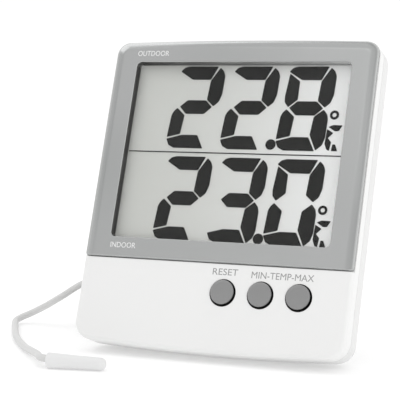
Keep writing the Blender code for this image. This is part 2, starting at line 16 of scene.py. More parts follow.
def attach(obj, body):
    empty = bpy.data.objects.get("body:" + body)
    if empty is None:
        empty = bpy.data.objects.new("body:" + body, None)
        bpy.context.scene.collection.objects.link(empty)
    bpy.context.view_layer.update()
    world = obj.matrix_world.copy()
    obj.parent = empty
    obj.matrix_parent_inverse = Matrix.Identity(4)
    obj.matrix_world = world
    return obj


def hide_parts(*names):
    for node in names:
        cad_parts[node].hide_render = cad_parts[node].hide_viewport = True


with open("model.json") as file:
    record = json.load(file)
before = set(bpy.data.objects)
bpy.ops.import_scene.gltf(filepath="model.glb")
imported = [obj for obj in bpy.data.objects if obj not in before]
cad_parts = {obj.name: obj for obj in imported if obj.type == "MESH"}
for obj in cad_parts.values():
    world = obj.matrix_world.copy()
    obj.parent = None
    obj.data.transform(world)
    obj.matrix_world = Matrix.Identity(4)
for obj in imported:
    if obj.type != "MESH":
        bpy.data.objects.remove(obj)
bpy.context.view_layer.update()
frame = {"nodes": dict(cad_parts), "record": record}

MM = 0.001
GAP = 0.3  # between pieces that touch or slide
JOINTS = {joint["name"]: joint for joint in frame["record"]["behaviour"]["joints"]}

# Case
HALF_WIDTH = 49.0
CASE_TOP = 79.5
CASE_BOTTOM = -30.4
TOP_BOW = 0.6
BOTTOM_BOW = 1.3
TOP_RADIUS = 5.0
BOTTOM_RADIUS = 6.5
CASE_DEPTH = 20.0
BEHIND = 25.0  # clear of the back, where a cut ends
WALL = 2.0
PANEL_FRONT = 0.5
PANEL_BACK = 3.0
EDGE_RADIUS = 1.5
SEAM = 6.3
BACK_INNER = 17.0
BACK_PROFILE = ((11.0, 0.0), (14.0, 0.6), (17.0, 1.8), (19.0, 3.4), (CASE_DEPTH, 5.4))  # depth and inset

# Bezel and display
BEZEL_INSET = 0.3
BEZEL_THICK = 1.5
WINDOW_HALF = 40.0
WINDOW_LOW = 7.2
WINDOW_HIGH = 71.2
WINDOW_RADIUS = 1.8
RIM = 1.2
LIP = 0.25  # radius of the window opening's front edge
WINDOW_FRONT = 2.2

# Display symbols
DIGIT_PITCH = 20.4
FIRST_DIGIT = -25.68
BAR_GROWTH = 0.09  # thickens a digit's bars, which keeps the gaps between them thin
ROW_LOWS = {"outdoor": 40.6, "indoor": 7.6}
INK_FRONT = 3.16
INK_BACK = 3.26

# Buttons
BUTTON_HEIGHT = -10.0
BUTTON_PITCH = 13.4
FIRST_BUTTON = 4.6
BUTTON_NAMES = ("reset", "minimum", "maximum")
BUTTON_RADIUS = 4.45
CAP_RADIUS = 4.15
CAP_SLACK = 0.27  # how far a cap sits to the upper left of its hole's middle

# Battery
BATTERY_HEIGHT = 52.0
BATTERY_DEPTH = 12.85
BATTERY_RADIUS = 5.25
BATTERY_LEFT = -21.5
BATTERY_END = 23.0
BAY_HALF_LENGTH = 26.6
BAY_HALF_HEIGHT = 6.2
BAY_FLOOR = 7.2
DOOR_HALF_WIDTH = 29.7
DOOR_HALF_HEIGHT = 9.0
DOOR_FRONT = 18.7

# Stand
HINGE_HEIGHT = 20.0
HINGE_DEPTH = 18.0
STAND_HALF_WIDTH = 17.0
STAND_HALF_THICK = 1.0
BARREL_RADIUS = 1.9
PIN_RADIUS = 1.2
PIN_END = 19.4

# Screws, switch, hanging hole
CASE_SCREW_X = 38.0
CASE_SCREW_Z = -22.0
SWITCH_X = 31.0
SWITCH_Z = 2.0
SWITCH_TRAVEL = 2.0
HANG_RADIUS = 4.0
HANG_HEIGHT = 66.5
HANG_SLOT = 2.1
HANG_SLOT_TOP = 72.5

# Cord and probe, with places on the floor measured from under the middle of the object
RELIEF_X = -38.0
RELIEF_Z = -14.0
RELIEF_END = 28.0
CORD_RADIUS = 1.25
COIL_CENTRE = (-47.0, 35.2)
COIL_COLUMNS = 4
COIL_ROWS = 6
COIL_MIDDLE = 18.0  # radius at the middle of the turns
COIL_LIFT = 0.4  # room for the tie under the turns
PROBE_LENGTH = 20.0
PROBE_RADIUS = 2.6
PROBE_START = (-43.6, -52.9, 2.65)
PROBE_TILT = 1.4  # its narrow tip rests on the floor too
PROBE_TURN = 10.5  # from X
PROBE_BORE_RISE = 0.6  # the cord goes in above the middle
LEAD_POINTS = (
    (-38.0, -7.37, 14.26), (-38.0, -1.45, 12.11), (-38.0, 4.19, 10.06), (-37.9, 7.0, 8.95),
    (-37.3, 9.6, 7.3), (-36.0, 11.8, 5.2), (-33.8, 13.7, 3.0), (-31.2, 15.7, 1.65),
    (-28.9, 18.4, 1.3),
)
RUN_POINTS = (
    (-54.0, 54.5, 16.6), (-60.2, 50.9, 16.6), (-64.8, 45.5, 16.6), (-67.2, 38.8, 16.6),
    (-68.8, 33.0, 16.5), (-71.2, 28.0, 16.0), (-73.0, 23.2, 14.9), (-74.4, 18.8, 13.4),
    (-76.0, 15.6, 11.8), (-78.6, 13.8, 10.0), (-82.0, 13.8, 8.0), (-85.6, 14.7, 6.2),
    (-88.8, 15.8, 4.7), (-91.4, 16.0, 3.5), (-93.5, 14.5, 2.5), (-94.2, 12.0, 1.8),
    (-93.3, 9.1, 1.5), (-91.3, 5.6, 1.3), (-88.2, 0.6, 1.3), (-84.6, -5.4, 1.3),
    (-79.9, -12.7, 1.3), (-74.9, -19.6, 1.3), (-69.6, -26.1, 1.35), (-63.6, -33.0, 1.6),
    (-57.6, -39.3, 2.1), (-52.6, -44.4, 2.5), (-50.0, -47.6, 2.75), (-48.2, -50.2, 2.95),
    (-46.2, -52.1, 3.1), (-43.6, -52.9, 3.2), (-40.6, -52.4, 3.15),
)

# Camera
CAMERA_PLACE = (0.18669, -0.44988, 0.09768)
CAMERA_TURN = 23.885
CAMERA_TILT = -5.63
CAMERA_LENS = 123.2

# Light
FLOOR_HALF = 3000
FLOOR_GLOW = 0.3
LAMPS = (  # name, place, size, power
    ("key", (-0.7, -0.3, 1.0), 0.6, 1.3),
    ("fill", (0.9, -0.2, 0.4), 0.7, 0.8),
    ("top", (-0.2, 0.2, 1.2), 0.9, 0.6),
)
LAMP_TARGET = Vector((0, 0, 0.05))
STREAK_TURN = (0.5, 0.6, 0.0)
STREAK_DEPTH = 0.2
SPOT_DIRECTION = Vector((-0.235, -0.70, 0.674)).normalized()
# Degrees from the spot's middle, and the brightness there
SPOT_TONES = ((0, 1.25), (5, 1.05), (11, 0.85), (17, 0.75), (22, 0.65), (28, 0.75), (38, 1.05))

ARC_STEPS = 12
BOW_STEPS = 16
SIDES = 48


def case_frame():
    """The matrix from the case frame, in metres, to the part's frame."""
    across = Vector((1, 0, 0))
    inward = Vector(JOINTS["reset_press"]["axis"])
    upward = across.cross(inward)
    hinge = Vector(JOINTS["stand_fold"]["pos_m"])
    corner = hinge - (inward * HINGE_DEPTH + upward * HINGE_HEIGHT) * MM
    turn = Matrix((across, inward, upward)).transposed().to_4x4()
    return Matrix.Translation(corner) @ turn


CASE = case_frame()


# Materials


def nodes_of(name):
    """A new material with its node tree, its shader and its object coordinates."""
    look = bpy.data.materials.new(name)
    look.use_nodes = True
    tree = look.node_tree
    shader = tree.nodes["Principled BSDF"]
    place = tree.nodes.new("ShaderNodeTexCoord").outputs["Object"]
    return look, tree, shader, place


def put(node, values):
    """Sets inputs of a node by their names."""
    for name, value in values.items():
        node.inputs[name].default_value = value


def noise(tree, place, scale, detail=3.0):
    pattern = tree.nodes.new("ShaderNodeTexNoise")
    put(pattern, {"Scale": scale, "Detail": detail, "Roughness": 0.5})
    tree.links.new(place, pattern.inputs["Vector"])
    return pattern.outputs["Fac"]


def spread(tree, value, low, high):
    """Turns a pattern's middle range into values from low to high."""
    node = tree.nodes.new("ShaderNodeMapRange")
    put(node, {"From Min": 0.3, "From Max": 0.7, "To Min": low, "To Max": high})
    tree.links.new(value, node.inputs["Value"])
    return node.outputs["Result"]


def blend_colours(tree, share, first, second):
    node = tree.nodes.new("ShaderNodeMix")
    node.data_type = "RGBA"
    put(node, {"A": (*first, 1.0), "B": (*second, 1.0)})
    tree.links.new(share, node.inputs["Factor"])
    return node.outputs["Result"]


def add_bump(tree, shader, height, strength, distance):
    node = tree.nodes.new("ShaderNodeBump")
    put(node, {"Strength": strength, "Distance": distance})
    tree.links.new(height, node.inputs["Height"])
    tree.links.new(node.outputs["Normal"], shader.inputs["Normal"])


def add_colour(tree, shader, share, first, second):
    """Colours a surface between two colours by a share that varies over it."""
    tree.links.new(blend_colours(tree, share, first, second), shader.inputs["Base Color"])


def add_roughness(tree, shader, value, low, high):
    tree.links.new(spread(tree, value, low, high), shader.inputs["Roughness"])


def share_across(tree, place, left, right):
    """A share that grows from 0 to 1 between two places along X, in millimetres."""
    parts = tree.nodes.new("ShaderNodeSeparateXYZ")
    tree.links.new(place, parts.inputs["Vector"])
    across = tree.nodes.new("ShaderNodeMapRange")
    put(across, {"From Min": left * MM, "From Max": right * MM})
    tree.links.new(parts.outputs["X"], across.inputs["Value"])
    return across.outputs["Result"]


def moulded(name, colour, roughness, grain=1800.0, relief=0.15, drift=0.03, coat=0.0, shine=0.5):
    """Moulded plastic: a fine grain, with colour and gloss that drift a little over the surface."""
    look, tree, shader, place = nodes_of(name)
    broad = noise(tree, place, 35.0)
    fine = noise(tree, place, grain, detail=5.0)
    dark = [channel * (1 - drift) for channel in colour]
    light = [min(channel * (1 + drift), 1.0) for channel in colour]
    add_colour(tree, shader, spread(tree, broad, 0, 1), dark, light)
    add_roughness(tree, shader, fine, roughness - 0.05, roughness + 0.05)
    put(shader, {"Specular IOR Level": shine, "Coat Weight": coat, "Coat Roughness": 0.06})
    add_bump(tree, shader, fine, relief, 0.02 * MM)
    return look


def metal(name, colour, roughness, grain=900.0):
    """Plated metal with faint rub marks."""
    look, tree, shader, place = nodes_of(name)
    stretch = tree.nodes.new("ShaderNodeMapping")
    stretch.inputs["Scale"].default_value = (1.0, 6.0, 1.0)
    tree.links.new(place, stretch.inputs["Vector"])
    marks = noise(tree, stretch.outputs["Vector"], grain, detail=4.0)
    dull = [channel * 0.9 for channel in colour]
    add_colour(tree, shader, spread(tree, marks, 0, 1), dull, colour)
    add_roughness(tree, shader, marks, roughness - 0.06, roughness + 0.08)
    shader.inputs["Metallic"].default_value = 1.0
    add_bump(tree, shader, marks, 0.08, 0.01 * MM)
    return look


def silver_paint():
    """Silver paint with fine flakes under a clear glossy skin."""
    look, tree, shader, place = nodes_of("bezel_silver")
    flakes = noise(tree, place, 5200.0, detail=2.0)
    haze = noise(tree, place, 22.0)
    add_colour(tree, shader, spread(tree, haze, 0, 1), (0.42, 0.43, 0.425), (0.45, 0.455, 0.455))
    add_roughness(tree, shader, flakes, 0.11, 0.16)
    put(shader, {"Metallic": 0.75, "Coat Weight": 0.5, "Coat Roughness": 0.05})
    add_bump(tree, shader, flakes, 0.05, 0.01 * MM)
    return look


def window_wall_painted_shade():
    """The side of the window opening: painted shade, dark at the left and paler towards the right."""
    look, tree, shader, place = nodes_of("window_wall_painted_shade")
    # Painted shade: the wall darkens towards the left, where shade falls in the recess.
    across = share_across(tree, place, -0.9 * WINDOW_HALF, WINDOW_HALF)
    add_colour(tree, shader, across, (0.06, 0.06, 0.058), (0.55, 0.555, 0.55))
    grain = noise(tree, place, 1800.0)
    add_roughness(tree, shader, grain, 0.3, 0.4)
    add_bump(tree, shader, grain, 0.1, 0.02 * MM)
    return look


def clear_plastic():
    """The window: clear, polished, with the faintest ripple of a moulded pane."""
    look, tree, shader, place = nodes_of("window_clear")
    ripple = noise(tree, place, 90.0, detail=1.0)
    put(shader, {"Base Color": (0.99, 0.995, 0.995, 1.0), "Roughness": 0.02})
    put(shader, {"Transmission Weight": 1.0, "IOR": 1.25})
    add_bump(tree, shader, ripple, 0.02, 0.02 * MM)
    return look


def display_film_painted_shade():
    """The display's polariser: warm grey with a matt tooth, with painted shade that darkens it towards the
    left and painted light that pales it towards the right.
    """
    look, tree, shader, place = nodes_of("display_film_painted_shade")
    # Painted shade and painted light: the colour grows paler from left to right across the display.
    painted_shade_ramp = tree.nodes.new("ShaderNodeMath")
    painted_shade_ramp.operation = "POWER"
    painted_shade_ramp.inputs[1].default_value = 2.0
    tree.links.new(share_across(tree, place, -WINDOW_HALF, WINDOW_HALF), painted_shade_ramp.inputs[0])
    add_colour(tree, shader, painted_shade_ramp.outputs["Value"], (0.64, 0.645, 0.615), (0.97, 0.97, 0.965))
    tooth = noise(tree, place, 4000.0, detail=2.0)
    add_roughness(tree, shader, tooth, 0.5, 0.6)
    shader.inputs["Specular IOR Level"].default_value = 0.2
    add_bump(tree, shader, tooth, 0.05, 0.01 * MM)
    return look


def board_mask():
    """Green solder mask over copper tracks that run both ways."""
    look, tree, shader, place = nodes_of("board_mask")
    tracks = tree.nodes.new("ShaderNodeTexBrick")
    put(tracks, {"Scale": 160.0, "Mortar Size": 0.06, "Mortar": (0.05, 0.30, 0.13, 1.0)})
    put(tracks, {"Color1": (0.02, 0.16, 0.07, 1.0), "Color2": (0.03, 0.20, 0.09, 1.0)})
    turn = tree.nodes.new("ShaderNodeMapping")
    turn.inputs["Rotation"].default_value = (math.radians(70), 0, 0)
    tree.links.new(place, turn.inputs["Vector"])
    tree.links.new(turn.outputs["Vector"], tracks.inputs["Vector"])
    tree.links.new(tracks.outputs["Color"], shader.inputs["Base Color"])
    add_roughness(tree, shader, tracks.outputs["Fac"], 0.30, 0.42)
    return look


def backdrop_white():
    look, tree, shader, place = nodes_of("backdrop_white")
    tone = noise(tree, place, 3.0)
    add_colour(tree, shader, tone, (0.72, 0.72, 0.72), (0.74, 0.74, 0.74))
    put(shader, {"Emission Color": (1.0, 1.0, 1.0, 1.0), "Emission Strength": FLOOR_GLOW})
    put(shader, {"Roughness": 0.9, "Specular IOR Level": 0.0})
    return look


# Shapes


def skin(shape, rings, closed=False):
    """Adds rings of points to a shape with faces from each to the next, and returns their corners."""
    loops = [[shape.verts.new(point) for point in ring] for ring in rings]
    following = [*loops[1:], loops[0]] if closed else loops[1:]
    for first, second in zip(loops, following):
        for index in range(len(first)):
            after = (index + 1) % len(first)
            shape.faces.new((first[index], first[after], second[after], second[index]))
    return loops


def loft(rings):
    """A closed shape through rings of points, with a flat cap at each end."""
    shape = bmesh.new()
    loops = skin(shape, rings)
    shape.faces.new(loops[0])
    shape.faces.new(loops[-1])
    return shape


def box(low, high):
    """A box between two corners."""
    corners = ((low[0], low[2]), (high[0], low[2]), (high[0], high[2]), (low[0], high[2]))
    return loft([[(x, depth, z) for x, z in corners] for depth in (low[1], high[1])])


def turned(profile, axis="Y", sides=SIDES):
    """A round shape through (distance along X or Y, radius) pairs, closed at both ends."""
    angles = [math.tau * step / sides for step in range(sides)]
    rings = []
    for along, radius in profile:
        across = [(radius * math.cos(angle), radius * math.sin(angle)) for angle in angles]
        if axis == "X":
            rings.append([(along, first, second) for first, second in across])
        else:
            rings.append([(first, along, second) for first, second in across])
    return loft(rings)


def arc(centre, radius, start, end, steps=ARC_STEPS):
    x, y = centre
    angles = [math.radians(start + (end - start) * step / steps) for step in range(steps + 1)]
    return [(x + radius * math.cos(angle), y + radius * math.sin(angle)) for angle in angles]


def bow(half, edge, rise):
    """Points between the ends of an edge that bulges by rise in its middle."""
    spots = [half * (2 * step / BOW_STEPS - 1) for step in range(1, BOW_STEPS)]
    return [(x, edge + rise * (x / half) ** 2) for x in spots]


def outline(half, low, high, low_bow, high_bow, low_radius, high_radius):
    """The outline of a face, anticlockwise, with bowed ends and round corners."""
    low_half = half - low_radius
    high_half = half - high_radius
    low_centre = low + low_bow + low_radius
    high_centre = high - high_bow - high_radius
    points = bow(low_half, low, low_bow) if low_bow else []
    points += arc((low_half, low_centre), low_radius, -90, 0)
    points += arc((high_half, high_centre), high_radius, 0, 90)
    if high_bow:
        points += reversed(bow(high_half, high, -high_bow))
    points += arc((-high_half, high_centre), high_radius, 90, 180)
    points += arc((-low_half, low_centre), low_radius, 180, 270)
    return points


def case_outline(inset):
    return outline(
        HALF_WIDTH - inset,
        CASE_BOTTOM + inset,
        CASE_TOP - inset,
        BOTTOM_BOW,
        TOP_BOW,
        max(BOTTOM_RADIUS - inset, 1.0),
        max(TOP_RADIUS - inset, 1.0),
    )


def case_loft(profile):
    """A closed shape that follows the case outline at each (depth, inset)."""
    return loft([[(x, depth, z) for x, z in case_outline(inset)] for depth, inset in profile])


def slab(half, low, high, radius, profile):
    """A plate with round corners. Its profile gives (depth, inset) pairs."""
    rings = []
    for depth, inset in profile:
        points = outline(half - inset, low + inset, high - inset, 0, 0, radius - inset, radius - inset)
        rings.append([(x, depth, z) for x, z in points])
    return loft(rings)


def window_slab(growth, profile):
    """A plate with the outline of the window opening, grown on every side."""
    low = WINDOW_LOW - growth
    high = WINDOW_HIGH + growth
    return slab(WINDOW_HALF + growth, low, high, WINDOW_RADIUS + growth, profile)


def quarter_turn(steps):
    """Angles from 0 to 90 degrees, in radians."""
    return [math.radians(90 * step / steps) for step in range(steps + 1)]


def soft_edges(front, back, radius, steps=3):
    """The (depth, inset) pairs of a plate whose front and back edges are rounded."""
    bend = [(radius * (1 - math.sin(turn)), radius * (1 - math.cos(turn))) for turn in quarter_turn(steps)]
    first = [(front + depth, inset) for depth, inset in reversed(bend)]
    last = [(back - depth, inset) for depth, inset in bend]
    return [*first, *last]


def smooth_points(points, steps):
    """Points on a smooth curve through the given ones, a few between each pair."""
    spots = [Vector(point) for point in points]
    spots = [2 * spots[0] - spots[1], *spots, 2 * spots[-1] - spots[-2]]
    result = []
    for before, start, end, after in zip(spots, spots[1:], spots[2:], spots[3:]):
        for step in range(steps):
            share = step / steps
            square = share * share
            cube = square * share
            result.append(
                0.5
                * (
                    2 * start
                    + (end - before) * share
                    + (2 * before - 5 * start + 4 * end - after) * square
                    + (3 * start - before - 3 * end + after) * cube
                )
            )
    result.append(spots[-2])
    return result


def moved(place):
    """The matrix that moves a thing to a place given in millimetres."""
    return Matrix.Translation(Vector(place) * MM)


def add_object(name, data):
    thing = bpy.data.objects.new(name, data)
    bpy.context.collection.objects.link(thing)
    return thing


def finished_mesh(thing):
    """The mesh of an object once its modifiers or its lettering are worked out."""
    bpy.context.view_layer.update()
    graph = bpy.context.evaluated_depsgraph_get()
    return bpy.data.meshes.new_from_object(thing.evaluated_get(graph))


def new_piece(name, shape, matrix=CASE, place=(0, 0, 0)):
    """Turns a bmesh in millimetres into an object whose origin is at place in the matrix's frame."""
    mesh = bpy.data.meshes.new(name)
    bmesh.ops.recalc_face_normals(shape, faces=shape.faces)
    bmesh.ops.scale(shape, vec=(MM, MM, MM), verts=shape.verts)
    shape.to_mesh(mesh)
    shape.free()
    thing = add_object(name, mesh)
    thing.matrix_world = matrix @ moved(place)
    return thing


def carve(thing, steps):
    """Cuts tools from a piece or joins them to it, and leaves none behind.

    A step is ("cut" or "join", shape, place), and its place may be left out at the piece's origin.
    """
    origin = thing.matrix_world.copy()
    tools = []
    for action, shape, *place in steps:
        tool = new_piece("tool", shape, origin, *place)
        tools.append(tool)
        boolean = thing.modifiers.new("carve", "BOOLEAN")
        boolean.operation = "DIFFERENCE" if action == "cut" else "UNION"
        boolean.solver = "EXACT"
        boolean.object = tool
    carved = finished_mesh(thing)
    thing.modifiers.clear()
    thing.data = carved
    for tool in tools:
        bpy.data.objects.remove(tool, do_unlink=True)


def dress(thing, body, slot, looks, *stands_for, sharp=35):
    """Gives a piece its materials and shading, ties it to its body, and hides the CAD nodes it stands for.
    """
    for look in looks:
        thing.data.materials.append(look)
    if thing.type == "MESH":
        thing.data.shade_smooth()
        thing.data.set_sharp_from_angle(angle=math.radians(sharp))
        weighting = thing.modifiers.new("even_shading", "WEIGHTED_NORMAL")
        weighting.keep_sharp = True
    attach(thing, body)
    if stands_for:
        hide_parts(*stands_for)
    return thing


# Pieces


def front_shell(looks):
    edge = [
        (PANEL_FRONT + EDGE_RADIUS * (1 - math.cos(turn)), EDGE_RADIUS * (1 - math.sin(turn)))
        for turn in quarter_turn(8)
    ]
    rim = [(SEAM - GAP / 2 - 0.2, 0), (SEAM - GAP / 2, 0.2)]
    shell = new_piece("front_shell_moulding", case_loft(edge + rim))
    far = 2 * CASE_TOP
    steps = [
        ("cut", case_loft([(PANEL_BACK, WALL), (SEAM + 2, WALL)])),
        ("cut", box((-far, -5, -GAP), (far, BEZEL_THICK + GAP, far))),
        ("cut", window_slab(RIM + GAP, ((-5, 0), (5, 0)))),
    ]
    hole = BUTTON_RADIUS + GAP
    flare = [(-5, hole), (PANEL_FRONT, hole), (PANEL_FRONT + 0.1, hole - 0.1), (5, hole - 0.1)]
    for index in range(len(BUTTON_NAMES)):
        place = (FIRST_BUTTON + BUTTON_PITCH * index, 0, BUTTON_HEIGHT)
        steps.append(("cut", turned(flare), place))
    for side in (-1, 1):
        place = (side * CASE_SCREW_X, 0, CASE_SCREW_Z)
        steps.append(("join", turned(((PANEL_BACK - 0.5, 2.7), (8.9, 2.7)), sides=24), place))
        steps.append(("cut", turned(((4.5, 1.3), (9.5, 1.3)), sides=24), place))
    carve(shell, steps)
    dress(shell, "case", "white_plastic", looks, "front_shell")
    # Painted shade: the walls of the button holes get the black material, for the shade in the gaps round
    # the caps.
    for face in shell.data.polygons:
        x, depth, z = (value / MM for value in face.center)
        column = round((x - FIRST_BUTTON) / BUTTON_PITCH)
        away = math.hypot(x - FIRST_BUTTON - BUTTON_PITCH * column, z - BUTTON_HEIGHT)
        if 0 <= column < len(BUTTON_NAMES) and away < hole - 0.07 and depth > PANEL_FRONT + 0.1:
            face.material_index = 1


def lens_bezel(silver, painted_shade_wall):
    def ring(side, low, depth):
        """The bezel's outline at a depth, with its sides and its lower edge drawn in."""
        points = outline(
            HALF_WIDTH - BEZEL_INSET - side,
            low,
            CASE_TOP - BEZEL_INSET - side,
            0,
            TOP_BOW,
            max(1.0 - side, 0.25),
            TOP_RADIUS - BEZEL_INSET - side,
        )
        return [(x, depth, z) for x, z in points]

    crown = (
        *((3.3, 0.6, 0.0), (2.8, 0.5, 0.015), (2.3, 0.4, 0.05), (1.3, 0.28, 0.19), (0.6, 0.2, 0.31)),
        *((0.28, 0.12, 0.42), (0.08, 0.05, 0.58), (0.0, 0.0, 0.76), (0.0, 0.0, BEZEL_THICK)),
    )
    bezel = new_piece("bezel_moulding", loft([ring(*place) for place in crown]))
    rim = window_slab(RIM, ((1.0, 0), (PANEL_BACK, 0)))
    mouth = [(-3, -LIP)]
    mouth += [(LIP * (1 - math.cos(turn)), -LIP * (1 - math.sin(turn))) for turn in quarter_turn(4)]
    window = window_slab(0, [*mouth, (5, 0)])
    carve(bezel, [("join", rim), ("cut", window)])
    dress(bezel, "case", "bezel_plastic", [silver, painted_shade_wall], "lens_bezel", sharp=25)
    # The faces inside the window opening get the wall material with its painted shade.
    inside = WINDOW_HALF + 0.02
    for face in bezel.data.polygons:
        x, depth, z = (value / MM for value in face.center)
        level = WINDOW_LOW - 0.02 < z < WINDOW_HIGH + 0.02
        if abs(x) < inside and level and depth > LIP * 0.9:
            face.material_index = 1


def window_pane(looks):
    pane = new_piece("window_pane", window_slab(-GAP, soft_edges(WINDOW_FRONT, PANEL_BACK, 0.12)))
    dress(pane, "case", "clear_window", looks, "display_window")
    pane.visible_shadow = False
    # Painted shade: the pane's edges get the dark wall material, a dark band where there is only shade.
    margin = GAP + 0.06
    for face in pane.data.polygons:
        x = face.center.x / MM
        z = face.center.z / MM
        level = WINDOW_LOW + margin < z < WINDOW_HIGH - margin
        if abs(x) > WINDOW_HALF - margin or not level:
            face.material_index = 1


def rounded(points, radius, steps=4):
    """The same outline with each corner rounded off."""
    spots = [Vector(point) for point in points]
    result = []
    for before, corner, after in zip([spots[-1], *spots], spots, [*spots[1:], spots[0]]):
        reach = min(radius, 0.45 * (before - corner).length, 0.45 * (after - corner).length)
        start = corner + (before - corner).normalized() * reach
        end = corner + (after - corner).normalized() * reach
        for step in range(steps + 1):
            share = step / steps
            result.append(start * (1 - share) ** 2 + corner * 2 * share * (1 - share) + end * share**2)
    return result


def grown(points, amount):
    """The same outline, clockwise or not, with every edge moved outwards."""
    spots = [Vector(point) for point in points]
    middle = sum(spots, Vector((0, 0))) / len(spots)
    result = []
    for before, corner, after in zip([spots[-1], *spots], spots, [*spots[1:], spots[0]]):
        first = (corner - before).orthogonal().normalized()
        second = (after - corner).orthogonal().normalized()
        bisector = (first + second).normalized()
        if bisector.dot(corner - middle) < 0:
            bisector = -bisector
            first = -first
        result.append(corner + bisector * amount / max(bisector.dot(first), 0.5))
    return result


def ink(points, place, radius=0.35, growth=0.0):
    """A thin flat shape on the display, from an outline drawn on its face."""
    points = grown(points, growth) if growth else points
    flat = rounded(points, radius) if radius else [Vector(point) for point in points]
    spots = [(point.x + place[0], point.y + place[1]) for point in flat]
    return loft([[(x, depth, z) for x, z in spots] for depth in (INK_FRONT, INK_BACK)])


# A digit's seven bars, from its lower left corner
SEGMENTS = {
    "top": ((2.1, 28.0), (3.3, 29.3), (5.0, 29.8), (16.0, 29.8), (13.8, 25.1), (6.9, 25.1)),
    "upper_right": (
        *((17.0, 29.3), (18.3, 28.1), (19.0, 26.4), (18.8, 19.8)),
        *((17.9, 17.0), (16.1, 15.4), (13.5, 17.6), (14.0, 24.6)),
    ),
    "upper_left": ((2.4, 27.2), (6.1, 24.5), (6.1, 18.0), (3.0, 15.4), (1.7, 17.0), (1.5, 19.0)),
    "middle": ((3.6, 15.0), (6.2, 17.3), (13.1, 17.3), (15.5, 15.0), (12.9, 12.5), (6.1, 12.5)),
    "lower_left": ((2.6, 14.4), (5.6, 11.8), (4.9, 5.1), (0.2, 3.9), (0.8, 11.8), (1.5, 13.3)),
    "lower_right": (
        *((15.9, 14.4), (17.3, 12.8), (17.7, 11.0), (17.5, 4.7)),
        *((16.7, 2.1), (14.7, 0.3), (12.1, 5.6), (12.8, 11.9)),
    ),
    "bottom": ((0.2, 3.1), (5.8, 4.6), (11.6, 4.6), (14.1, 0.0), (3.2, 0.0), (1.2, 1.0)),
}
DIGITS = {
    "0": ("top", "upper_right", "upper_left", "lower_left", "lower_right", "bottom"),
    "2": ("top", "upper_right", "middle", "lower_left", "bottom"),
    "3": ("top", "upper_right", "middle", "lower_right", "bottom"),
    "8": tuple(SEGMENTS),
}
SCALE_WEDGE = ((33.5, 49.1), (35.2, 49.8), (38.3, 49.7), (37.2, 47.7), (35.8, 47.65))
SCALE_STROKE = (
    *((33.1, 48.3), (35.4, 47.0), (33.7, 45.2), (35.0, 43.8)),
    *((34.6, 40.8), (33.7, 41.1), (32.8, 43.1)),
)
SCALE_FOOT = ((35.3, 40.7), (35.6, 43.0), (36.5, 43.0), (37.5, 40.7))
SYMBOL_LOW = 40.6  # of the row that the scale symbols above are drawn for


def join_shapes(shapes):
    """One bmesh that holds several."""
    whole = bmesh.new()
    for shape in shapes:
        copies = {corner: whole.verts.new(corner.co) for corner in shape.verts}
        for face in shape.faces:
            whole.faces.new([copies[corner] for corner in face.verts])
        shape.free()
    return whole


def circle(centre, radius, steps=32):
    return arc(centre, radius, 0, 360 - 360 / steps, steps - 1)


def degree_ring(centre, outer, inner):
    """A thin flat ring on the display."""
    edges = ((outer, INK_FRONT), (outer, INK_BACK), (inner, INK_BACK), (inner, INK_FRONT))
    rings = [[(x, depth, z) for x, z in circle(centre, radius)] for radius, depth in edges]
    shape = bmesh.new()
    skin(shape, rings, closed=True)
    return shape


def display_row(name, digits, low, look):
    """The digits of one reading, its point and its scale symbol."""
    for index, digit in enumerate(digits):
        place = (FIRST_DIGIT + DIGIT_PITCH * index, low)
        bars = [ink(SEGMENTS[bar], place, growth=BAR_GROWTH) for bar in DIGITS[digit]]
        piece = new_piece(f"lcd_{name}_digit_{index + 1}", join_shapes(bars))
        dress(piece, "case", "black_plastic", [look])
    drop = low - SYMBOL_LOW
    marks = [ink(circle((13.6, 42.5), 1.85), (0, drop), 0)]
    marks += [ink(points, (0, drop), 0.25) for points in (SCALE_WEDGE, SCALE_STROKE, SCALE_FOOT)]
    marks.append(degree_ring((35.05, 53.3 + drop), 1.6, 0.75))
    piece = new_piece(f"lcd_{name}_symbols", join_shapes(marks))
    dress(piece, "case", "black_plastic", [look])


def display_symbols(look):
    display_row("outdoor", "228", ROW_LOWS["outdoor"], look)
    display_row("indoor", "230", ROW_LOWS["indoor"], look)
    line = ink(((-39.4, 38.8), (39.0, 38.8), (39.0, 39.15), (-39.4, 39.15)), (0, 0), 0.1)
    dress(new_piece("lcd_divider", line), "case", "black_plastic", [look])


def label(name, words, left, right, low, high, depth):
    """Printed lettering that fills a width and a height on the face of the case."""
    text = bpy.data.curves.new(name, "FONT")
    text.body = words
    text.size = 1.0
    text.resolution_u = 4
    text.fill_mode = "BOTH"
    text.extrude = 0.01
    flat = add_object(name + "_text", text)
    mesh = finished_mesh(flat)
    bpy.data.objects.remove(flat, do_unlink=True)
    spots = [corner.co.copy() for corner in mesh.vertices]
    least = [min(spot[axis] for spot in spots) for axis in range(3)]
    most = [max(spot[axis] for spot in spots) for axis in range(3)]
    for corner, spot in zip(mesh.vertices, spots):
        share = [(spot[axis] - least[axis]) / (most[axis] - least[axis]) for axis in range(3)]
        x = left + (right - left) * share[0]
        z = low + (high - low) * share[1]
        corner.co = Vector((x, depth - 0.03 * share[2] + 0.01, z)) * MM
    thing = add_object(name, mesh)
    thing.matrix_world = CASE
    return thing


def labels(white_ink, grey_ink):
    for name, words, left, right, low, high in (
        ("label_outdoor", "OUTDOOR", -40.2, -28.0, 73.4, 75.3),
        ("label_indoor", "INDOOR", -39.4, -29.8, 3.3, 5.2),
    ):
        dress(label(name, words, left, right, low, high, 0.0), "case", "white_plastic", [white_ink])
    for name, words, left, right, low, high in (
        ("label_reset", "RESET", 0.1, 9.2, -4.0, -1.8),
        ("label_min_max", "MIN-TEMP-MAX", 14.1, 35.9, -4.4, -2.2),
    ):
        dress(label(name, words, left, right, low, high, PANEL_FRONT), "case", "grey_plastic", [grey_ink])


